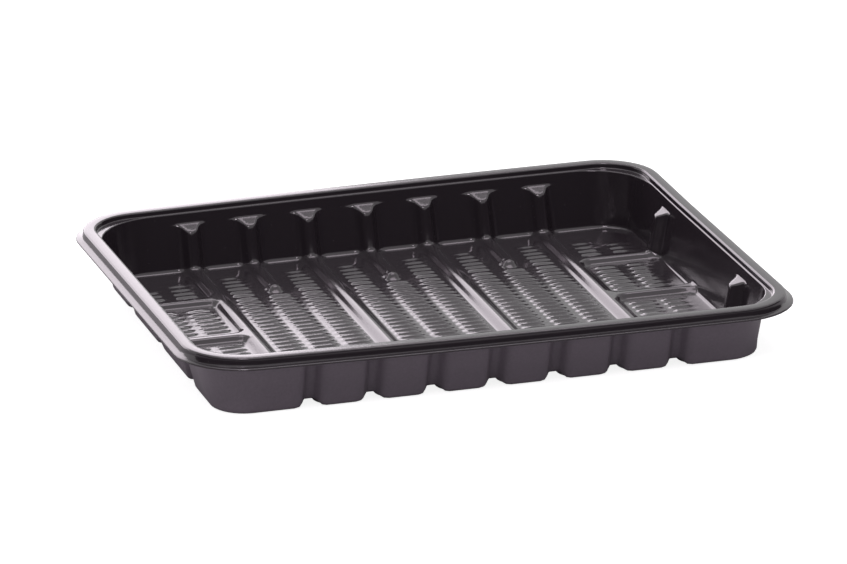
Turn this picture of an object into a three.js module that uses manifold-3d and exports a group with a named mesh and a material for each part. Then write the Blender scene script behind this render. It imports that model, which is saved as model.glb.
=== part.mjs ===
// A shallow half-size food tray, thermoformed from one thin sheet of black plastic.
// The sheet is laid out as a grid: its middle is the ribbed floor, and loops round the floor's edge
// climb the walls and fold over the rim. The underside is the same grid set off by the sheet's thickness.
// Millimetres, +Z up. The origin is under the middle of the floor, on the surface that the tray stands on.

import * as THREE from 'three';
import { mergeVertices } from 'three/addons/utils/BufferGeometryUtils.js';
import Module from 'manifold-3d';

// Overall sizes
const LENGTH = 325;
const WIDTH = 262.6;
const DEPTH = 34.2;
const SHEET = 0.5;
const SIDE_BOW = 2.6;

// Rim: a flat ring, a shoulder down from it, and a narrow flange with a turned-down lip
const FLANGE = 3.8;
const LIP_DROP = 0.9;
const LIP_REACH = 0.5;
const SHOULDER = 4.5;
const SHOULDER_LEAN = 0.35;
const RING = 6.8;
const RING_ROUND = 0.7;
const RING_CORNER = 31;

// Walls: a short upright band, a stacking ledge in each corner, then the sloping wall
const LEDGE_DEPTH = 3;
const LEDGE_STEP = 0.3;
const WALL_DRAFT = 14.5;
const WALL_CORNER = 35;
const FLOOR_FILLET = 2.6;
const FLOOR_CORNER = 16;

// Wall ribs: each starts at a sloped facet and runs down to a floor rib
const RIB_PITCH = 32.1;
const CROSS_RIB_PITCH = 59.3;
const WALL_RIB_WIDTH = 15;
const WALL_RIB_CREST = 4.4;
const WALL_RIB_OUT = 5.9;
const FACET_TOP = 8.6;
const FACET_DROP = 2.8;

// Floor ribs, the domes at the ends of the short ones, and the rows of small ridges between them
const FLOOR_RIB_WIDTH = 9.4;
const FLOOR_RIB_CREST = 6;
const FLOOR_RIB_HEIGHT = 2.6;
const SHORT_RIB_END = 68;
const DOME_RADIUS = 3.2;
const DOME_RISE = 0.6;
const RIDGE_LENGTH = 12;
const RIDGE_WIDTH = 3.8;
const RIDGE_HEIGHT = 0.55;
const RIDGE_PITCH = 5.7;
const RIDGE_COLUMN_STEP = 17.8;
const PANEL_END = 14;

// The ridges of the end cells: rows from one cross rib to the next, and clear of the floor's corners
const END_RIDGE_PITCH = 6.1;
const END_RIDGE_START = 12.4;
const END_RIDGE_STOP = 10;
const END_COLUMN_STEP = 17.6;
const END_COLUMN_SHIFT = 1.4;
const RIDGE_MARGIN = 5;
const RIDGE_CORNER = 28;

// Fineness
const CORNER_STEPS = [0, 0.36, 0.7, 1];
const SAME_LINE = 1;
const DOME_FACETS = 8;

const RIM_HALF_LENGTH = LENGTH / 2 - FLANGE;
const RIM_HALF_WIDTH = WIDTH / 2 - FLANGE;
const FLANGE_Z = DEPTH - SHOULDER;
const FLOOR_Z = SHEET;
const draftSlope = Math.tan(THREE.MathUtils.degToRad(WALL_DRAFT));

// How far the wall stands inside the ring's outer edge at a height: the ledge's step, then the draft.
function wallInset(z) {
  const ledgeZ = DEPTH - LEDGE_DEPTH;
  return RING + LEDGE_STEP * 2 + Math.max(0, ledgeZ - z) * draftSlope;
}

const wallFootZ = FLOOR_Z + FLOOR_FILLET;
const floorOut = -wallInset(wallFootZ) - FLOOR_FILLET;
const floorHalfLength = RIM_HALF_LENGTH + floorOut;
const floorHalfWidth = RIM_HALF_WIDTH + floorOut;

// Middles of as many equal ribs as fit along a side between its round corners, on both sides of its middle.
function spread(pitch, floorHalf, most = Infinity) {
  const straightHalf = floorHalf - Math.max(FLOOR_CORNER, WALL_CORNER + floorOut + RING);
  const perSide = Math.min(most, Math.floor((straightHalf - WALL_RIB_WIDTH / 2) / pitch));
  return Array.from({ length: perSide * 2 + 1 }, (_, i) => (i - perSide) * pitch);
}

const longRibs = spread(RIB_PITCH, floorHalfLength);
const fullRibs = longRibs.filter((_, i) => i % 2 === 0);
const shortRibs = longRibs.filter((_, i) => i % 2 === 1);
const lastRib = longRibs[longRibs.length - 1];
const crossRibs = spread(CROSS_RIB_PITCH, floorHalfWidth, 1);
const endWallRibs = crossRibs.filter((centre) => centre !== 0);

// The loops of the sheet from the lip inwards: how far each stands out from the ring's outer edge,
// its height, its corner radius, and how much of a wall rib it carries. The rim's loops are coarse.
function sheetLoops() {
  const ledgeZ = DEPTH - LEDGE_DEPTH;
  const facetZ = DEPTH - FACET_TOP;
  const tipZ = facetZ - FACET_DROP;
  const rim = (out, z) => ({ out, z, corner: RING_CORNER + out, rib: 0, coarse: true });
  const wall = (z, rib, coarse = false) => {
    const down = (ledgeZ - z) / (ledgeZ - FLOOR_Z);
    const corner = THREE.MathUtils.lerp(WALL_CORNER, FLOOR_CORNER + FLOOR_FILLET, down);
    return { out: -wallInset(z), z, corner, rib, coarse };
  };
  return [
    rim(FLANGE, FLANGE_Z - LIP_DROP),
    rim(FLANGE - LIP_REACH, FLANGE_Z),
    rim(SHOULDER_LEAN, FLANGE_Z),
    rim(0, DEPTH - RING_ROUND),
    rim(-RING_ROUND, DEPTH),
    rim(RING_ROUND - RING, DEPTH),
    rim(-RING, DEPTH - RING_ROUND),
    rim(-RING - LEDGE_STEP, ledgeZ + LEDGE_STEP),
    wall(ledgeZ, 0, true),
    wall(facetZ, 0),
    wall(tipZ, 1),
    wall(wallFootZ, 1),
    { out: floorOut, z: FLOOR_Z, corner: FLOOR_CORNER, rib: 1 },
  ];
}

// Section of a rib across its middle: 1 on the flat crest, 0 from its edges on, straight flanks between.
function section(offset, width, crest) {
  return THREE.MathUtils.clamp((width / 2 - Math.abs(offset)) / ((width - crest) / 2), 0, 1);
}

const nearest = (centres, at) => centres.reduce((a, b) => (Math.abs(at - b) < Math.abs(at - a) ? b : a), Infinity);
const wallRib = (centres, at) => section(at - nearest(centres, at), WALL_RIB_WIDTH, WALL_RIB_CREST);
const floorRib = (centres, at) => section(at - nearest(centres, at), FLOOR_RIB_WIDTH, FLOOR_RIB_CREST);

// Height of the ribs above the floor: full and short ribs, and the end cells' cross ribs.
function ribHeight(x, y) {
  const ended = THREE.MathUtils.clamp((Math.abs(y) - SHORT_RIB_END + DOME_RADIUS) / DOME_RADIUS, 0, 1);
  const short = floorRib(shortRibs, x) * ended;
  const cross = Math.abs(x) >= lastRib ? floorRib(crossRibs, y) : 0;
  return FLOOR_RIB_HEIGHT * Math.max(floorRib(fullRibs, x), short, cross);
}

// Lines of the grid. A straight line has its place on the floor, and a wider one where it meets the wall
// beside a rib; a corner line has how far round the corner it lies.
function straightLine(at, centres, coarse = false) {
  const centre = nearest(centres, at);
  const offset = Math.abs(at - centre);
  const spans = [[0, 0], [FLOOR_RIB_CREST, WALL_RIB_CREST], [FLOOR_RIB_WIDTH, WALL_RIB_WIDTH], [RIB_PITCH, RIB_PITCH]];
  const k = Math.max(1, spans.findIndex(([floor]) => offset <= floor / 2));
  const [[floorFrom, wallFrom], [floorTo, wallTo]] = [spans[k - 1], spans[k]];
  const wall = THREE.MathUtils.mapLinear(offset * 2, floorFrom, floorTo, wallFrom, wallTo) / 2;
  return { floor: at, wall: offset < RIB_PITCH / 2 ? centre + Math.sign(at - centre) * wall : at, bend: 0, coarse };
}

function ribLines(centre, centres) {
  const offsets = [-FLOOR_RIB_WIDTH, -FLOOR_RIB_CREST, FLOOR_RIB_CREST, FLOOR_RIB_WIDTH];
  return offsets.map((offset, i) => straightLine(centre + offset / 2, centres, i === 0));
}

function cornerLines(side) {
  const lines = CORNER_STEPS.map((bend) => ({ side, bend, corner: true, coarse: true }));
  return side < 0 ? lines.reverse() : lines;
}

// Lines where the short ribs end, without those that lie on a cross rib's own line.
function shortRibEndLines(others) {
  const ends = [SHORT_RIB_END - DOME_RADIUS, SHORT_RIB_END].flatMap((at) => [-at, at]);
  return ends
    .filter((at) => others.every((line) => Math.abs(line.floor - at) > SAME_LINE))
    .map((at) => straightLine(at, crossRibs));
}

const columns = [
  ...cornerLines(-1),
  ...longRibs.flatMap((centre) => ribLines(centre, longRibs)),
  ...cornerLines(1),
];
const crossLines = crossRibs.flatMap((centre) => ribLines(centre, crossRibs));
const straightRows = [...crossLines, ...shortRibEndLines(crossLines)].sort((a, b) => a.floor - b.floor);
const rows = [...cornerLines(-1), ...straightRows, ...cornerLines(1)];

// Place of one line of the grid along one axis of an outline with this half size and corner radius.
function along(line, half, corner, onWall, otherBend) {
  if (line.corner) return line.side * (half - corner + corner * line.bend * Math.sqrt(1 - otherBend ** 2 / 2));
  return onWall ? line.wall : line.floor;
}

// The long sides bow outwards, most at the middle of the rim and not at all at the floor.
function bow(x, z) {
  return (Math.max(0, 1 - (x / RIM_HALF_LENGTH) ** 2) * SIDE_BOW * z) / DEPTH;
}

// A point of a loop, where a column or a row of the grid ends on the sheet's edge.
function loopPoint(loop, column, row) {
  let x = along(column, RIM_HALF_LENGTH + loop.out, loop.corner, true, row.bend);
  let y = along(row, RIM_HALF_WIDTH + loop.out, loop.corner, true, column.bend);
  const lift = loop.z > wallFootZ ? 0 : ribHeight(column.corner ? x : column.floor, row.corner ? y : row.floor);
  if (row.corner) y += row.side * bow(x, loop.z);
  if (loop.rib && !column.corner) y -= row.side * WALL_RIB_OUT * wallRib(longRibs, x);
  if (loop.rib && !row.corner) x -= column.side * WALL_RIB_OUT * wallRib(endWallRibs, y);
  return new THREE.Vector3(x, y, loop.z + lift);
}

// A point of the floor's inner grid. The lines beside a wall give way to the foot of a wall rib.
function floorPoint(column, row) {
  let x = along(column, floorHalfLength, FLOOR_CORNER, false, row.bend);
  let y = along(row, floorHalfWidth, FLOOR_CORNER, false, column.bend);
  const lift = ribHeight(x, y);
  if (row.corner && !column.corner) y -= row.side * row.bend * WALL_RIB_OUT * wallRib(longRibs, column.wall);
  if (column.corner && !row.corner) x -= column.side * column.bend * WALL_RIB_OUT * wallRib(endWallRibs, row.wall);
  return new THREE.Vector3(x, y, FLOOR_Z + lift);
}

// Triangles between two neighbouring loops. Each is a list of its points' numbers by grid line, and a
// coarse loop's missing points are spanned by a fan from the ends of each gap. Where the rib falls away
// to the next line the square is split the other way, so that both sides of a rib are alike.
function band(outer, inner, falls) {
  const stops = outer.flatMap((point, n) => (point === null ? [] : [n]));
  const at = (loop, n) => loop[n % loop.length];
  const present = (loop) => loop.every((point) => point !== null);
  return stops.flatMap((from, k) => {
    const to = k + 1 < stops.length ? stops[k + 1] : outer.length;
    const [a, b, c, d] = [at(outer, from), at(outer, to), at(inner, to), at(inner, from)];
    if (falls[from] && to === from + 1) return [[a, b, d], [b, c, d]];
    if (!present(inner) || to === from + 1) return [[a, b, c], [a, c, d]];
    const middle = Math.floor((from + to) / 2);
    const fan = Array.from({ length: to - from }, (_, i) => from + i);
    return [[a, b, at(inner, middle)], ...fan.map((n) => [n < middle ? a : b, at(inner, n + 1), at(inner, n)])];
  });
}

// The sheet's upper face as points and triangles, and the loop of its outer edge.
function upperFace() {
  const points = [];
  const add = (point) => points.push(point) - 1;
  const last = { column: columns.length - 1, row: rows.length - 1 };
  const edge = [
    ...columns.slice(0, -1).map((_, i) => [i, 0]),
    ...rows.slice(0, -1).map((_, j) => [last.column, j]),
    ...columns.slice(1).map((_, i) => [last.column - i, last.row]),
    ...rows.slice(1).map((_, j) => [0, last.row - j]),
  ];
  const loops = sheetLoops().map((loop) =>
    edge.map(([i, j]) => {
      const skipped = loop.coarse && !(columns[i].coarse && rows[j].coarse);
      return skipped ? null : add(loopPoint(loop, columns[i], rows[j]));
    })
  );
  const ribAt = edge.map(([i, j]) => {
    const side = columns[i].corner ? wallRib(endWallRibs, rows[j].wall) : wallRib(longRibs, columns[i].wall);
    return columns[i].corner && rows[j].corner ? 0 : side;
  });
  const falls = ribAt.map((rib, n) => rib > ribAt[(n + 1) % ribAt.length]);
  const triangles = loops.slice(1).flatMap((inner, k) => band(loops[k], inner, falls));
  const grid = columns.map(() => rows.map(() => null));
  edge.forEach(([i, j], n) => (grid[i][j] = loops[loops.length - 1][n]));
  columns.forEach((column, i) =>
    rows.forEach((row, j) => {
      if (grid[i][j] !== null) return;
      grid[i][j] = add(floorPoint(column, row));
    })
  );
  for (let i = 0; i < last.column; i += 1) {
    for (let j = 0; j < last.row; j += 1) {
      const [a, b, c, d] = [grid[i][j], grid[i + 1][j], grid[i + 1][j + 1], grid[i][j + 1]];
      triangles.push([a, b, c], [a, c, d]);
    }
  }
  return { points, triangles, rim: loops[0].filter((point) => point !== null) };
}

// Moves each point to where its triangles' planes meet once they are set back by the thickness.
function setBack(points, triangles, thickness) {
  const STIFFNESS = 1e-6;
  const sums = points.map(() => ({ matrix: new Array(9).fill(0), normal: new THREE.Vector3() }));
  for (const corners of triangles) {
    const [a, b, c] = corners.map((n) => points[n]);
    const normal = new THREE.Triangle(a, b, c).getNormal(new THREE.Vector3());
    const [x, y, z] = normal.toArray();
    const outer = [x * x, x * y, x * z, y * x, y * y, y * z, z * x, z * y, z * z];
    for (const n of corners) {
      outer.forEach((value, k) => (sums[n].matrix[k] += value));
      sums[n].normal.add(normal);
    }
  }
  return points.map((point, n) => {
    const { matrix, normal } = sums[n];
    [0, 4, 8].forEach((k) => (matrix[k] += STIFFNESS));
    const pull = normal.clone().addScaledVector(normal.clone().normalize(), STIFFNESS);
    const step = pull.applyMatrix3(new THREE.Matrix3(...matrix).invert());
    const moved = point.clone().addScaledVector(step, -thickness);
    return moved.setZ(Math.max(0, moved.z));
  });
}

// The formed sheet as one closed body: upper face, underside and the cut edge of the lip.
function formedSheet() {
  const { points, triangles, rim } = upperFace();
  const shift = points.length;
  const underside = triangles.map(([a, b, c]) => [a + shift, c + shift, b + shift]);
  const cutEdge = rim.flatMap((from, n) => {
    const to = rim[(n + 1) % rim.length];
    return [[to, from, from + shift], [to, from + shift, to + shift]];
  });
  return { points: [...points, ...setBack(points, triangles, SHEET)], faces: [...triangles, ...underside, ...cutEdge] };
}

// Middles of the small ridges: three columns to each panel, the middle one between the domes,
// and two to each end cell, clear of the cross ribs and of the floor's round corners.
function ridgePlaces() {
  const perSide = Math.floor((floorHalfWidth - PANEL_END) / RIDGE_PITCH + 0.5);
  const lines = Array.from({ length: perSide * 2 }, (_, n) => (n - perSide + 0.5) * RIDGE_PITCH);
  const betweenDomes = (y) => Math.abs(y) < SHORT_RIB_END - DOME_RADIUS - RIDGE_WIDTH / 2;
  const panels = shortRibs.flatMap((centre) =>
    [-1, 0, 1].flatMap((step) =>
      lines.filter((y) => step !== 0 || betweenDomes(y)).map((y) => [centre + step * RIDGE_COLUMN_STEP, y])
    )
  );
  const insideCorner = (x, y) => {
    const pastX = Math.max(0, x + RIDGE_LENGTH / 2 - floorHalfLength + RIDGE_MARGIN + RIDGE_CORNER);
    const pastY = Math.max(0, y + RIDGE_WIDTH / 2 - floorHalfWidth + RIDGE_MARGIN + RIDGE_CORNER);
    return Math.hypot(pastX, pastY) < RIDGE_CORNER;
  };
  const cellStarts = crossRibs.filter((rib) => rib >= 0);
  const cellLines = cellStarts.flatMap((rib, k) => {
    const stop = k + 1 < cellStarts.length ? cellStarts[k + 1] - END_RIDGE_STOP : floorHalfWidth;
    const count = Math.ceil((stop - rib - END_RIDGE_START) / END_RIDGE_PITCH);
    return Array.from({ length: count }, (_, n) => rib + END_RIDGE_START + n * END_RIDGE_PITCH);
  });
  const cellMiddle = (lastRib + FLOOR_RIB_WIDTH / 2 + floorHalfLength) / 2 - END_COLUMN_SHIFT;
  const cells = [-1, 1].flatMap((step) => {
    const x = cellMiddle + (step * END_COLUMN_STEP) / 2;
    const kept = cellLines.filter((y) => insideCorner(x, y));
    return kept.flatMap((y) => [[x, y], [x, -y], [-x, y], [-x, -y]]);
  });
  return [...panels, ...cells];
}

// One small ridge: a low hipped bar whose foot lies inside the sheet.
function ridge(centreX, centreY) {
  const sunk = SHEET / 2;
  const spread = (sunk / RIDGE_HEIGHT) * (RIDGE_WIDTH / 2);
  const [halfLength, halfWidth] = [RIDGE_LENGTH / 2 + spread, RIDGE_WIDTH / 2 + spread];
  const crest = RIDGE_LENGTH / 2 - RIDGE_WIDTH / 2;
  const at = (x, y, z) => new THREE.Vector3(centreX + x, centreY + y, z);
  const points = [
    at(-halfLength, -halfWidth, FLOOR_Z - sunk),
    at(halfLength, -halfWidth, FLOOR_Z - sunk),
    at(halfLength, halfWidth, FLOOR_Z - sunk),
    at(-halfLength, halfWidth, FLOOR_Z - sunk),
    at(-crest, 0, FLOOR_Z + RIDGE_HEIGHT),
    at(crest, 0, FLOOR_Z + RIDGE_HEIGHT),
  ];
  const faces = [[0, 2, 1], [0, 3, 2], [0, 1, 5], [0, 5, 4], [1, 2, 5], [2, 3, 4], [2, 4, 5], [3, 0, 4]];
  return { points, faces };
}

function toGeometry({ points, faces }) {
  const geometry = new THREE.BufferGeometry().setFromPoints(points);
  geometry.setIndex(faces.flat());
  return mergeVertices(geometry);
}

const wasm = await Module();
wasm.setup();

function toSolid(body) {
  const geometry = toGeometry(body);
  return new wasm.Manifold(
    new wasm.Mesh({
      numProp: 3,
      vertProperties: new Float32Array(geometry.getAttribute('position').array),
      triVerts: new Uint32Array(geometry.getIndex().array),
    })
  );
}

function fromSolid(solid) {
  const mesh = solid.getMesh();
  const geometry = new THREE.BufferGeometry();
  geometry.setAttribute('position', new THREE.BufferAttribute(mesh.vertProperties, 3));
  geometry.setIndex(new THREE.BufferAttribute(mesh.triVerts, 1));
  return geometry;
}

// Several separate bodies as one.
function gather(bodies) {
  const points = [];
  const faces = [];
  for (const body of bodies) {
    faces.push(...body.faces.map((corners) => corners.map((n) => n + points.length)));
    points.push(...body.points);
  }
  return { points, faces };
}

// A round knob on the end of a short rib, a little higher than the rib.
function dome(x, y) {
  const height = FLOOR_RIB_HEIGHT + DOME_RISE;
  const rings = [[DOME_RADIUS, FLOOR_Z - SHEET / 2], [DOME_RADIUS, FLOOR_Z + height * 0.5], [DOME_RADIUS * 0.7, FLOOR_Z + height * 0.86]];
  const circle = Array.from({ length: DOME_FACETS }, (_, n) => (2 * Math.PI * (n + 0.5)) / DOME_FACETS);
  const points = rings.flatMap(([radius, z]) =>
    circle.map((angle) => new THREE.Vector3(x + radius * Math.cos(angle), y + radius * Math.sin(angle), z))
  );
  points.push(new THREE.Vector3(x, y, FLOOR_Z - SHEET / 2), new THREE.Vector3(x, y, FLOOR_Z + height));
  const [bottom, top] = [points.length - 2, points.length - 1];
  const faces = circle.flatMap((_, n) => {
    const next = (n + 1) % DOME_FACETS;
    const sides = rings.slice(1).flatMap((_, k) => {
      const [a, b] = [k * DOME_FACETS + n, k * DOME_FACETS + next];
      return [[a, b, b + DOME_FACETS], [a, b + DOME_FACETS, a + DOME_FACETS]];
    });
    const crown = (rings.length - 1) * DOME_FACETS;
    return [[bottom, next, n], ...sides, [crown + n, crown + next, top]];
  });
  return { points, faces };
}

const domes = shortRibs.flatMap((x) => [dome(x, -SHORT_RIB_END), dome(x, SHORT_RIB_END)]);
const ridges = ridgePlaces().map(([x, y]) => ridge(x, y));
const formed = toSolid(formedSheet()).add(toSolid(gather(domes))).add(toSolid(gather(ridges)));

const blackPlastic = new THREE.MeshStandardMaterial({ color: 0x1d1a1e, roughness: 0.22, metalness: 0 });
const tray = new THREE.Mesh(fromSolid(formed), blackPlastic);
tray.name = 'tray';

const model = new THREE.Group();
model.add(tray);

export default model;
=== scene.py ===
# A half-size black food tray, thermoformed from one thin sheet of glossy plastic, on a white table.
# Metres, +Z up, in the part's own frame: origin under the middle of the floor.
import math

import bmesh
import bpy
from mathutils import Matrix, Vector


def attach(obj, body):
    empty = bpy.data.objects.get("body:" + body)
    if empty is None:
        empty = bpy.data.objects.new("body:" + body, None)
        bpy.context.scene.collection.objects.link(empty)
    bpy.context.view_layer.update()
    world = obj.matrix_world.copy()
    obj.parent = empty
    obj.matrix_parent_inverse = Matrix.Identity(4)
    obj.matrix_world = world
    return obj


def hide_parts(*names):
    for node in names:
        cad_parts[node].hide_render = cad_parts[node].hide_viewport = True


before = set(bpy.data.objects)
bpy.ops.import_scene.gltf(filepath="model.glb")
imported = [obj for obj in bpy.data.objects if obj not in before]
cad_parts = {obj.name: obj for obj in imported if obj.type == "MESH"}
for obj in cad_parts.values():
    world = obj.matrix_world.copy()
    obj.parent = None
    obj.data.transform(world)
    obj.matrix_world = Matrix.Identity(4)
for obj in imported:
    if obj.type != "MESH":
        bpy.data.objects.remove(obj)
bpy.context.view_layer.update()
bpy.context.scene.view_settings.view_transform = "Standard"

# The camera: a long lens, a little to the left of the tray's middle, looking down at its near long side.
LENS = 0.31117
SENSOR = 0.036
CAMERA_DISTANCE = 3.7728
CAMERA_TURN = math.radians(-16.68)
CAMERA_HEIGHT = math.radians(18.64)
CAMERA_ROLL = math.radians(-0.65)
PICTURE = (847, 564)
RIM_CENTRE_PIXEL = (429.82, 255.71)
RIM_TOP = 0.0342

back = Vector((
    math.sin(CAMERA_TURN) * math.cos(CAMERA_HEIGHT),
    -math.cos(CAMERA_TURN) * math.cos(CAMERA_HEIGHT),
    math.sin(CAMERA_HEIGHT),
))
level_right = (-back).cross(Vector((0, 0, 1))).normalized()
level_up = level_right.cross(-back)
right = level_right * math.cos(CAMERA_ROLL) + level_up * math.sin(CAMERA_ROLL)
up = level_up * math.cos(CAMERA_ROLL) - level_right * math.sin(CAMERA_ROLL)
pixel = CAMERA_DISTANCE * SENSOR / LENS / PICTURE[0]
aim = Vector((0, 0, RIM_TOP))
aim -= right * (RIM_CENTRE_PIXEL[0] - PICTURE[0] / 2) * pixel
aim += up * (RIM_CENTRE_PIXEL[1] - PICTURE[1] / 2) * pixel

camera = bpy.data.objects.new("camera", bpy.data.cameras.new("camera"))
camera.data.lens = LENS * 1000
camera.data.sensor_width = SENSOR * 1000
camera.data.clip_end = 20
camera.matrix_world = Matrix.Translation(aim + back * CAMERA_DISTANCE) @ Matrix(
    (right, up, back)
).transposed().to_4x4()
bpy.context.scene.collection.objects.link(camera)
bpy.context.scene.camera = camera

# The tray is one sheet of black plastic, drawn into a mould while hot, and taken here as one thickness
# all over. It starts as a flat grid, whose lines lie closer together where a rib or a ridge will rise,
# and whose edge is then extruded up the walls and over the rim, one loop at a time.
SHEET = 0.0005
DEPTH = 0.0342
RIM_HALF = (0.1587, 0.1275)
SIDE_BOW = 0.0026
RING = 0.0068
RING_CORNER = 0.031
LEDGE_DEPTH = 0.003
LEDGE_STEP = 0.0003
WALL_LEAN = math.radians(14.5)
WALL_DRAFT = math.tan(WALL_LEAN)
WALL_CORNER = 0.035
FLOOR_FILLET = 0.0026
FLOOR_CORNER = 0.016
FLANGE = 0.0038
SHOULDER = 0.0045

RIB_PITCH = 0.0321
CROSS_RIB_PITCH = 0.0593
RIB_WIDTH = 0.0094
RIB_CREST = 0.004
RIB_HEIGHT = 0.0026
WALL_RIB_CORE = 0.0125
WALL_RIB_SKIRT = 0.0185
WALL_RIB_CREST = 0.003
SKIRT_SHARE = 0.2
RIB_FOOT_WIDTH = 0.0155
RIB_FOOT_CREST = 0.0016
RIB_FOOT_REACH = 0.007
WALL_RIB_OUT = 0.0059
FACET_TOP = 0.0086
FACET_DROP = 0.0028
FACET_BLEND = 0.24
UNCUT = 2.0
SHORT_RIB_END = 0.068
DOME_RADIUS = 0.0037
DOME_HEIGHT = 0.0034
CELL_CORNER = 0.0065

RIDGE_LENGTH = 0.0124
RIDGE_WIDTH = 0.0042
RIDGE_FLANK = 0.00126
RIDGE_HEIGHT = 0.0007
RIDGE_PITCH = 0.0057
RIDGE_ROWS = 17
RIDGE_COLUMN_STEP = 0.0178
RIDGES_BELOW = RIB_HEIGHT * 0.02
END_RIDGE_PITCH = 0.0061
END_RIDGE_START = 0.0124
END_COLUMNS = ((0.111, 5), (0.1286, 3))
MIDDLE_CELL_RIDGES = 7

LAST_RIB = 3 * RIB_PITCH
FLOOR_Z = SHEET
WALL_FOOT_Z = FLOOR_Z + FLOOR_FILLET
LEDGE_Z = DEPTH - LEDGE_DEPTH
FACET_Z = DEPTH - FACET_TOP
TIP_Z = FACET_Z - FACET_DROP
FLANGE_Z = DEPTH - SHOULDER


def clamp(value, low=0.0, high=1.0):
    return min(max(value, low), high)


def ease(value):
    value = clamp(value)
    return value * value * (3 - 2 * value)


def wall_inset(z):
    return RING + 2 * LEDGE_STEP + max(0.0, LEDGE_Z - z) * WALL_DRAFT


FLOOR_OUT = -wall_inset(WALL_FOOT_Z) - FLOOR_FILLET
FLOOR_HALF = (RIM_HALF[0] + FLOOR_OUT, RIM_HALF[1] + FLOOR_OUT)


# How much of a rib stands at a distance from its middle: 1 on the crest, then a smooth flank.
def rib_section(offset, width, crest):
    return ease((width / 2 - abs(offset)) / ((width - crest) / 2))


def off_nearest(at, pitch, most):
    return at - pitch * clamp(round(at / pitch), -most, most)


# How far a point lies inside a cell's outline with round corners: positive inside.
def inside_cell(x, y, low, high, corner):
    half = ((high[0] - low[0]) / 2, (high[1] - low[1]) / 2)
    across = abs(x - (low[0] + high[0]) / 2) - half[0] + corner
    along = abs(y - (low[1] + high[1]) / 2) - half[1] + corner
    outside = math.hypot(max(across, 0), max(along, 0))
    return corner - outside - min(max(across, along), 0)


# The cells of the floor between its ribs: three long panels, and four shorter cells at each end.
RIB_FLANK = (RIB_WIDTH - RIB_CREST) / 2
CELLS = []
cell_end = (FLOOR_HALF[0] + RIB_FLANK, FLOOR_HALF[1] + RIB_FLANK)
for at in (-LAST_RIB, -RIB_PITCH, RIB_PITCH):
    CELLS.append(((at + RIB_CREST / 2, -cell_end[1]), (at + 2 * RIB_PITCH - RIB_CREST / 2, cell_end[1])))
cross_ribs = [n * CROSS_RIB_PITCH for n in (-1, 0, 1)]
starts = [-cell_end[1]] + [at + RIB_CREST / 2 for at in cross_ribs]
stops = [at - RIB_CREST / 2 for at in cross_ribs] + [cell_end[1]]
for start, stop in zip(starts, stops):
    near, far = LAST_RIB + RIB_CREST / 2, cell_end[0]
    CELLS += [((near, start), (far, stop)), ((-far, start), (-near, stop))]


# Height of the ribs over the floor: everything that isn't a cell, and the short ribs with their domes.
def rib_height(x, y):
    depth = max(inside_cell(x, y, low, high, CELL_CORNER) for low, high in CELLS)
    rib = 1 - ease(depth / RIB_FLANK)
    offset = x - RIB_PITCH * 2 * clamp(round(x / RIB_PITCH / 2), -1, 1)
    past = SHORT_RIB_END - abs(y)
    off = math.hypot(offset, max(past + DOME_RADIUS, 0))
    short = ease((RIB_WIDTH / 2 - off) / RIB_FLANK) if abs(x) < LAST_RIB else 0.0
    off = min(math.hypot(offset, past) / DOME_RADIUS, 1) if abs(x) < LAST_RIB else 1
    dome = DOME_HEIGHT * math.sqrt(1 - off**2)
    # Each rib widens into a soft foot where it meets the wall.
    foot = 0.0
    for at, across, half, pitch, most in (
        (y, x, FLOOR_HALF[1], RIB_PITCH, 3),
        (x, y, FLOOR_HALF[0], CROSS_RIB_PITCH, 1),
    ):
        near = ease(1 - (half - abs(at)) / RIB_FOOT_REACH)
        width = RIB_WIDTH + (RIB_FOOT_WIDTH - RIB_WIDTH) * near
        crest = RIB_CREST + (RIB_FOOT_CREST - RIB_CREST) * near
        foot = max(foot, rib_section(off_nearest(across, pitch, most), width, crest) * near)
    return max(RIB_HEIGHT * max(rib, short, foot), dome)


# The middles of the small ridges that the food stands on.
ridges = []
for panel in (-2, 0, 2):
    for step in (-1, 0, 1):
        for row in range(RIDGE_ROWS):
            y = (row + 0.5) * RIDGE_PITCH
            if step == 0 and y > SHORT_RIB_END - DOME_RADIUS - RIDGE_WIDTH / 2:
                continue
            ridges += [(panel * RIB_PITCH + step * RIDGE_COLUMN_STEP, side * y) for side in (-1, 1)]
for x, corner_ridges in END_COLUMNS:
    rows = [END_RIDGE_START + n * END_RIDGE_PITCH for n in range(MIDDLE_CELL_RIDGES)]
    rows += [CROSS_RIB_PITCH + END_RIDGE_START + n * END_RIDGE_PITCH for n in range(corner_ridges)]
    ridges += [(a * x, b * y) for a in (-1, 1) for b in (-1, 1) for y in rows]
ridges_by_column = {}
for x, y in ridges:
    ridges_by_column.setdefault(round(x, 5), []).append(y)


def ridge_height(x, y):
    for column, ys in ridges_by_column.items():
        if abs(x - column) > RIDGE_LENGTH / 2:
            continue
        off = min(abs(y - at) for at in ys)
        if off < RIDGE_WIDTH / 2:
            round_end = max(0.0, abs(x - column) - RIDGE_LENGTH / 2 + RIDGE_WIDTH / 2)
            return RIDGE_HEIGHT * ease((RIDGE_WIDTH / 2 - math.hypot(off, round_end)) / RIDGE_FLANK)
    return 0.0


# Lines of the grid along one side: the places that need one, and lines between where the gap is wide.
CLOSEST_LINES = 0.0007


def grid_lines(places, widest):
    places = sorted(places)
    lines = [places[0]]
    for at in places[1:]:
        gap = at - lines[-1]
        if gap < CLOSEST_LINES:
            continue
        parts = max(1, math.ceil(gap / widest))
        lines += [lines[-1] + gap * n / parts for n in range(1, parts + 1)]
        lines[-1] = at
    return lines


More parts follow.
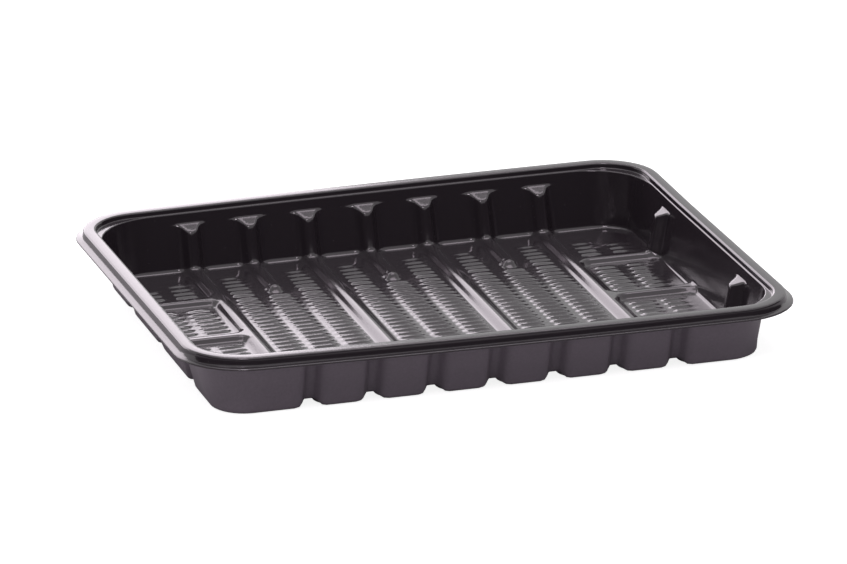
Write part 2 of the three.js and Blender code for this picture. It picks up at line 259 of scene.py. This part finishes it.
STRAIGHT_HALF = (FLOOR_HALF[0] - FLOOR_CORNER, FLOOR_HALF[1] - FLOOR_CORNER)
CORNER_BENDS = [0.0, 0.2, 0.4, 0.6, 0.8, 1.0]
RIB_LINES = (0.0, RIB_CREST / 2, 0.0029, 0.0038, RIB_WIDTH / 2, 0.0062, 0.0086)
KNOB_LINES_ACROSS = (0.0008, 0.0026, 0.0034)
KNOB_LINES_ALONG = (0.0, 0.0014, 0.0026, 0.0034)
RIDGE_END_LINES = (0.0062, 0.0052)
RIDGE_SIDE_LINES = (0.0021, 0.0011)
WIDEST_GAPS = (0.005, 0.0022)


def lines_beside(middles, offsets):
    return [middle + side * offset for middle in middles for side in (-1, 1) for offset in offsets]


x_places = [side * STRAIGHT_HALF[0] for side in (-1, 1)]
x_places += lines_beside([n * RIB_PITCH for n in range(-3, 4)], RIB_LINES)
x_places += lines_beside([n * RIB_PITCH for n in (-2, 0, 2)], KNOB_LINES_ACROSS)
x_places += lines_beside(ridges_by_column, RIDGE_END_LINES)
y_places = [side * STRAIGHT_HALF[1] for side in (-1, 1)]
panel_rows = [side * (n + 0.5) * RIDGE_PITCH for side in (-1, 1) for n in range(RIDGE_ROWS)]
y_places += lines_beside(panel_rows, RIDGE_SIDE_LINES)
y_places += lines_beside(cross_ribs, RIB_LINES)
y_places += lines_beside((-SHORT_RIB_END, SHORT_RIB_END), KNOB_LINES_ALONG)
y_places += [side * (SHORT_RIB_END - DOME_RADIUS) for side in (-1, 1)]
y_places = [y for y in y_places if abs(y) <= STRAIGHT_HALF[1]]
x_places = [x for x in x_places if abs(x) <= STRAIGHT_HALF[0]]
x_lines = grid_lines(x_places, WIDEST_GAPS[0])
y_lines = grid_lines(y_places, WIDEST_GAPS[1])


# A line of the grid: its side and its bend round the corner, or its straight place.
def sides(lines):
    near = [(-1, bend, None) for bend in reversed(CORNER_BENDS[1:])]
    far = [(1, bend, None) for bend in CORNER_BENDS[1:]]
    return near + [(0, 0.0, at) for at in lines] + far


columns, rows = sides(x_lines), sides(y_lines)


# Where a line of the grid lies on an outline of this half size, with this corner radius. Past its knee a
# straight side stretches, so that the lines near the corner follow the outline as it grows.
KNEE = 0.8


def along(line, half, corner, straight_half, other_bend):
    side, bend, at = line
    if side:
        return side * (half - corner + corner * bend * math.sqrt(1 - other_bend**2 / 2))
    knee = straight_half * KNEE
    if abs(at) <= knee:
        return at
    stretch = (half - corner - knee) / (straight_half - knee)
    return math.copysign(knee + (abs(at) - knee) * stretch, at)


def bow(x, z):
    return max(0.0, 1 - (x / RIM_HALF[0]) ** 2) * SIDE_BOW * z / DEPTH


# How far a wall rib pushes the wall in, from 0 to 1: a core with a soft skirt, which the facet over it
# cuts off with a rounded edge. The end walls have one on each outer cross rib, and none in the middle.
def wall_rib(at, pitch, most, middle=True, cut=UNCUT):
    offset = off_nearest(at, pitch, most)
    if not middle and abs(at) < pitch / 2:
        return 0.0
    core = rib_section(offset, WALL_RIB_CORE, WALL_RIB_CREST)
    skirt = rib_section(offset, WALL_RIB_SKIRT, WALL_RIB_CREST)
    rib = core * (1 - SKIRT_SHARE) + skirt * SKIRT_SHARE
    share = clamp(0.5 + (cut - rib) / FACET_BLEND)
    return max(0.0, cut * (1 - share) + rib * share - FACET_BLEND / 2 * share * (1 - share))


mesh = bpy.data.meshes.new("formed_sheet")
shape = bmesh.new()
bmesh.ops.create_grid(shape, x_segments=len(columns) - 1, y_segments=len(rows) - 1, size=0.5)
place = {}
for vertex in shape.verts:
    i = round((vertex.co.x + 0.5) * (len(columns) - 1))
    j = round((vertex.co.y + 0.5) * (len(rows) - 1))
    place[vertex] = (columns[i], rows[j])

# The floor's own height, with its ribs, and ridges where no rib rises. Its edge dips in to follow the
# feet of the wall ribs.
for vertex, (column, row) in place.items():
    x = along(column, FLOOR_HALF[0], FLOOR_CORNER, STRAIGHT_HALF[0], row[1])
    y = along(row, FLOOR_HALF[1], FLOOR_CORNER, STRAIGHT_HALF[1], column[1])
    height = rib_height(x, y)
    if height < RIDGES_BELOW:
        height += ridge_height(x, y)
    if row[0] and not column[0]:
        y -= row[0] * row[1] * WALL_RIB_OUT * wall_rib(x, RIB_PITCH, 3)
    if column[0] and not row[0]:
        x -= column[0] * column[1] * WALL_RIB_OUT * wall_rib(y, CROSS_RIB_PITCH, 1, middle=False)
    vertex.co = (x, y, FLOOR_Z + height)


# The loops from the floor's edge outwards: how far each stands out from the ring's outer edge, its
# height, its corner radius, where the facet cuts the wall ribs, and how much of the floor ribs it lifts.
def wall_loop(z, cut):
    down = clamp((LEDGE_Z - z) / (LEDGE_Z - FLOOR_Z))
    corner = WALL_CORNER + (FLOOR_CORNER + FLOOR_FILLET - WALL_CORNER) * down
    return (-wall_inset(z), z, corner, cut, 0.0)


loops = []
FILLET_TURN = math.radians(90) - WALL_LEAN
FILLET_REACH = FLOOR_FILLET * 1.25
FILLET_TUCK = 0.0003
FILLET_STEPS = 4
for step in range(1, FILLET_STEPS + 1):
    share = step / FILLET_STEPS
    turn = FILLET_TURN * share
    out = FLOOR_OUT + FILLET_REACH * math.sin(turn) - FILLET_TUCK * share
    z = FLOOR_Z + FILLET_REACH * (1 - math.cos(turn))
    loops.append((min(out, -wall_inset(z)), z, FLOOR_CORNER + FLOOR_FILLET * share, UNCUT, 1.0))

# Up the wall: two loops on the whole wall ribs, two round the facet's tip, six on the facet, and the
# wall and the stacking ledge over it.
loops += [
    wall_loop(0.0068, UNCUT),
    wall_loop(0.014, UNCUT),
    wall_loop(TIP_Z - 0.0022, 1.25),
    wall_loop(TIP_Z - 0.0006, 1.1),
]
loops += [wall_loop(FACET_Z - FACET_DROP * cut, cut) for cut in (0.95, 0.8, 0.6, 0.4, 0.2, 0.06)]
loops += [
    wall_loop(FACET_Z + 0.0001, 0.0),
    wall_loop(FACET_Z + 0.0008, 0.0),
    wall_loop(LEDGE_Z - 0.0006, 0.0),
    wall_loop(LEDGE_Z, 0.0),
    (-RING - LEDGE_STEP * 1.8, LEDGE_Z + LEDGE_STEP * 0.1, WALL_CORNER - 0.0011, 0.0, 0.0),
    (-RING - LEDGE_STEP * 1.2, LEDGE_Z + LEDGE_STEP * 0.3, RING_CORNER - RING + 0.0008, 0.0, 0.0),
]


# The rim's section: the upright band over the ledge, the flat ring, the shoulder, and the flange's lip.
def rim_loop(out, z):
    return (out, z, RING_CORNER + out, 0.0, 0.0)


loops += [
    rim_loop(-RING - LEDGE_STEP, LEDGE_Z + LEDGE_STEP / 2),
    rim_loop(-RING - LEDGE_STEP / 3, LEDGE_Z + LEDGE_STEP * 2),
    rim_loop(-RING, DEPTH - 0.0012),
    rim_loop(-RING + 0.00015, DEPTH - 0.0005),
    rim_loop(-RING + 0.0005, DEPTH - 0.00012),
    rim_loop(-RING + 0.0012, DEPTH),
    rim_loop(-0.003, DEPTH),
    rim_loop(-0.0012, DEPTH - 0.00008),
    rim_loop(-0.0005, DEPTH - 0.0002),
    rim_loop(-0.0001, DEPTH - 0.0006),
    rim_loop(0.00005, DEPTH - 0.0012),
    rim_loop(0.00035, FLANGE_Z + 0.0002),
    rim_loop(0.0006, FLANGE_Z),
    rim_loop(FLANGE - 0.0006, FLANGE_Z),
    rim_loop(FLANGE - 0.0002, FLANGE_Z - 0.0002),
    rim_loop(FLANGE, FLANGE_Z - 0.0009),
]

for out, z, corner, cut, lift in loops:
    rim_edges = [edge for edge in shape.edges if edge.is_boundary]
    grown = bmesh.ops.extrude_edge_only(shape, edges=rim_edges)
    moved = [item for item in grown["geom"] if isinstance(item, bmesh.types.BMVert)]
    # Each new point takes the grid place of the point that it was extruded from.
    sources = {}
    for vertex in moved:
        for edge in vertex.link_edges:
            other = edge.other_vert(vertex)
            if other in place:
                sources[vertex] = place[other]
    place = sources
    for vertex, (column, row) in place.items():
        half = (RIM_HALF[0] + out, RIM_HALF[1] + out)
        x = along(column, half[0], corner, STRAIGHT_HALF[0], row[1])
        y = along(row, half[1], corner, STRAIGHT_HALF[1], column[1])
        rise = 0.0
        if lift:
            on_edge = [clamp(value, -limit, limit) for value, limit in zip((x, y), FLOOR_HALF)]
            rise = lift * rib_height(*on_edge)
        y += row[0] * (row[1] * rise * WALL_DRAFT + bow(x, z))
        x += column[0] * column[1] * rise * WALL_DRAFT
        if row[0] and not column[0]:
            y -= row[0] * WALL_RIB_OUT * wall_rib(x, RIB_PITCH, 3, cut=cut)
        if column[0] and not row[0]:
            x -= column[0] * WALL_RIB_OUT * wall_rib(y, CROSS_RIB_PITCH, 1, middle=False, cut=cut)
        vertex.co = (x, y, z + rise)

# A sheet this thin never stays true: its rim is twisted a little, and its right end is pushed in.
TWIST = {"level": -0.00052, "across": -0.00022, "along": -0.00043, "corners": 0.00137}
END_PUSHED_IN = 0.0024
PUSH_FADE = 0.75
for vertex in shape.verts:
    share = (vertex.co.z - FLOOR_Z) / (DEPTH - FLOOR_Z)
    x, y = vertex.co.x / RIM_HALF[0], vertex.co.y / RIM_HALF[1]
    lift = TWIST["level"] + TWIST["across"] * y + TWIST["along"] * x + TWIST["corners"] * x * y
    vertex.co.z += share * lift
    vertex.co.x -= share * END_PUSHED_IN * max(x, 0) ** 3 * clamp(PUSH_FADE * (1 + y))

bmesh.ops.recalc_face_normals(shape, faces=shape.faces)
if sum(face.normal.z for face in shape.faces) < 0:
    bmesh.ops.reverse_faces(shape, faces=shape.faces)
for face in shape.faces:
    face.smooth = True
shape.to_mesh(mesh)
shape.free()
tray = bpy.data.objects.new("formed_sheet", mesh)
bpy.context.scene.collection.objects.link(tray)
thickness = tray.modifiers.new("thickness", "SOLIDIFY")
thickness.thickness = SHEET
thickness.offset = -1
thickness.use_even_offset = True
thickness.use_rim = True
thickness.material_offset = 1
thickness.material_offset_rim = 1

# The plastic is a black polyester or styrene sheet. Its upper side is glossy and faintly lilac in the
# light, with drawn streaks down the walls and a few specks of dust.
plastic = bpy.data.materials.new("black_glossy_sheet")
plastic.use_nodes = True
nodes, links = plastic.node_tree.nodes, plastic.node_tree.links
shader = nodes["Principled BSDF"]
shader.inputs["IOR"].default_value = 1.6
shader.inputs["Specular Tint"].default_value = (1, 0.95, 0.99, 1)
position = nodes.new("ShaderNodeTexCoord")

streak_place = nodes.new("ShaderNodeMapping")
streak_place.inputs["Scale"].default_value = (900, 900, 25)
links.new(position.outputs["Object"], streak_place.inputs["Vector"])
streaks = nodes.new("ShaderNodeTexNoise")
streaks.inputs["Scale"].default_value = 1.0
streaks.inputs["Detail"].default_value = 3.0
links.new(streak_place.outputs["Vector"], streaks.inputs["Vector"])

dust = nodes.new("ShaderNodeTexVoronoi")
dust.inputs["Scale"].default_value = 260.0
links.new(position.outputs["Object"], dust.inputs["Vector"])
specks = nodes.new("ShaderNodeMapRange")
specks.inputs["From Min"].default_value = 0.035
specks.inputs["From Max"].default_value = 0.02
links.new(dust.outputs["Distance"], specks.inputs["Value"])

tint = nodes.new("ShaderNodeMix")
tint.data_type = "RGBA"
tint.inputs["A"].default_value = (0.0245, 0.0195, 0.0238, 1)
tint.inputs["B"].default_value = (0.2, 0.19, 0.2, 1)
links.new(specks.outputs["Result"], tint.inputs["Factor"])
links.new(tint.outputs["Result"], shader.inputs["Base Color"])

gloss = nodes.new("ShaderNodeMapRange")
gloss.inputs["To Min"].default_value = 0.09
gloss.inputs["To Max"].default_value = 0.17
links.new(streaks.outputs["Fac"], gloss.inputs["Value"])
links.new(gloss.outputs["Result"], shader.inputs["Roughness"])

bump = nodes.new("ShaderNodeBump")
bump.inputs["Strength"].default_value = 0.12
bump.inputs["Distance"].default_value = 0.0002
links.new(streaks.outputs["Fac"], bump.inputs["Height"])
links.new(bump.outputs["Normal"], shader.inputs["Normal"])

# The underside touched the mould, so it is duller. Its pale grey base colour is painted light: a lighter
# copy of the same black plastic, much paler than the sheet itself.
dull_painted_pale_underside = bpy.data.materials.new("black_moulded_underside_painted_pale")
dull_painted_pale_underside.use_nodes = True
nodes, links = dull_painted_pale_underside.node_tree.nodes, dull_painted_pale_underside.node_tree.links
shader = nodes["Principled BSDF"]
shader.inputs["IOR"].default_value = 1.5
position = nodes.new("ShaderNodeTexCoord")
grain = nodes.new("ShaderNodeTexNoise")
grain.inputs["Scale"].default_value = 700.0
grain.inputs["Detail"].default_value = 4.0
links.new(position.outputs["Object"], grain.inputs["Vector"])
# Painted light: two pale greys mottled by the grain stand in for the underside's brightness; the black
# sheet is far darker.
painted_pale_grey = nodes.new("ShaderNodeMix")
painted_pale_grey.data_type = "RGBA"
painted_pale_grey.inputs["A"].default_value = (0.155, 0.13, 0.157, 1)
painted_pale_grey.inputs["B"].default_value = (0.2, 0.168, 0.202, 1)
links.new(grain.outputs["Fac"], painted_pale_grey.inputs["Factor"])
links.new(painted_pale_grey.outputs["Result"], shader.inputs["Base Color"])
matt = nodes.new("ShaderNodeMapRange")
matt.inputs["To Min"].default_value = 0.38
matt.inputs["To Max"].default_value = 0.52
links.new(grain.outputs["Fac"], matt.inputs["Value"])
links.new(matt.outputs["Result"], shader.inputs["Roughness"])
mould_marks = nodes.new("ShaderNodeBump")
mould_marks.inputs["Strength"].default_value = 0.15
mould_marks.inputs["Distance"].default_value = 0.0001
links.new(grain.outputs["Fac"], mould_marks.inputs["Height"])
links.new(mould_marks.outputs["Normal"], shader.inputs["Normal"])

mesh.materials.append(plastic)
mesh.materials.append(dull_painted_pale_underside)
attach(tray, "root")
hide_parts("tray")

# The table: a plain white sheet of paper, a hair under the tray's floor. The camera sees it white, and
# darker where the tray shades it.
TABLE_HALF = 3.0
TABLE_TOP = -0.0001
table_mesh = bpy.data.meshes.new("table")
shape = bmesh.new()
bmesh.ops.create_grid(
    shape, x_segments=1, y_segments=1, size=TABLE_HALF, matrix=Matrix.Translation((0, 0, TABLE_TOP))
)
shape.to_mesh(table_mesh)
shape.free()
table = bpy.data.objects.new("table", table_mesh)
bpy.context.scene.collection.objects.link(table)
paper = bpy.data.materials.new("white_paper")
paper.use_nodes = True
paper_nodes, paper_links = paper.node_tree.nodes, paper.node_tree.links
paper_shader = paper_nodes["Principled BSDF"]
paper_shader.inputs["Base Color"].default_value = (0.6, 0.6, 0.6, 1)
paper_shader.inputs["Roughness"].default_value = 0.9
paper_shader.inputs["Emission Color"].default_value = (1, 1, 1, 1)
paper_rays = paper_nodes.new("ShaderNodeLightPath")
paper_glow = paper_nodes.new("ShaderNodeMath")
paper_glow.operation = "MULTIPLY"
paper_glow.inputs[1].default_value = 0.85
paper_links.new(paper_rays.outputs["Is Camera Ray"], paper_glow.inputs[0])
paper_links.new(paper_glow.outputs["Value"], paper_shader.inputs["Emission Strength"])
table_mesh.materials.append(paper)

# A black cloth hangs in a wide curve round the camera's side of the table. Only the plastic's gloss sees
# it, and the inner back wall and the rim's front face are dark for that reason.
CLOTH_EDGE = (-4.4, 1.2)
CLOTH_HEIGHTS = (0.02, 2.3)
CLOTH_TURN = math.radians(210)
cloth_mesh = bpy.data.meshes.new("black_cloth")
shape = bmesh.new()
hem = [shape.verts.new((*CLOTH_EDGE, z)) for z in CLOTH_HEIGHTS]
edge = shape.edges.new(hem)
bmesh.ops.spin(
    shape, geom=[*hem, edge], cent=(0, 0, 0), axis=(0, 0, 1), angle=CLOTH_TURN, steps=42
)
shape.to_mesh(cloth_mesh)
shape.free()
cloth = bpy.data.objects.new("black_cloth", cloth_mesh)
bpy.context.scene.collection.objects.link(cloth)
velvet = bpy.data.materials.new("black_velvet")
velvet.use_nodes = True
velvet.node_tree.nodes["Principled BSDF"].inputs["Base Color"].default_value = (0.02, 0.018, 0.02, 1)
velvet.node_tree.nodes["Principled BSDF"].inputs["Roughness"].default_value = 1.0
cloth_mesh.materials.append(velvet)
cloth.visible_camera = False
cloth.visible_diffuse = False
cloth.visible_shadow = False

# Light: a white room, seen white by the camera and by the plastic's gloss, and three soft lamps whose
# light is faintly lilac.
world = bpy.data.worlds.new("white_room")
bpy.context.scene.world = world
world.use_nodes = True
nodes, links = world.node_tree.nodes, world.node_tree.links
sky = nodes["Background"]
sky.inputs["Color"].default_value = (1, 1, 1, 1)
rays = nodes.new("ShaderNodeLightPath")
seen = nodes.new("ShaderNodeMath")
seen.operation = "MAXIMUM"
links.new(rays.outputs["Is Camera Ray"], seen.inputs[0])
links.new(rays.outputs["Is Glossy Ray"], seen.inputs[1])
seen_or_through = nodes.new("ShaderNodeMath")
seen_or_through.operation = "MAXIMUM"
links.new(seen.outputs["Value"], seen_or_through.inputs[0])
links.new(rays.outputs["Is Transmission Ray"], seen_or_through.inputs[1])
strength = nodes.new("ShaderNodeMapRange")
strength.inputs["To Min"].default_value = 0.4
strength.inputs["To Max"].default_value = 1.0
links.new(seen_or_through.outputs["Value"], strength.inputs["Value"])
links.new(strength.outputs["Result"], sky.inputs["Strength"])


def softbox(name, at, size, power):
    lamp = bpy.data.lights.new(name, "AREA")
    lamp.color = (1, 0.91, 0.985)
    lamp.shape = "RECTANGLE"
    lamp.size, lamp.size_y = size
    lamp.energy = power
    holder = bpy.data.objects.new(name, lamp)
    at = Vector(at)
    holder.matrix_world = Matrix.Translation(at) @ at.to_track_quat("Z", "Y").to_matrix().to_4x4()
    bpy.context.scene.collection.objects.link(holder)


softbox("overhead", (0.1, 0.5, 1.9), (1.4, 1.0), 12)
softbox("behind", (-0.74, 3.0, 1.0), (3.44, 1.9), 56)
softbox("key", (-0.55, -1.6, 2.0), (0.5, 0.5), 14)
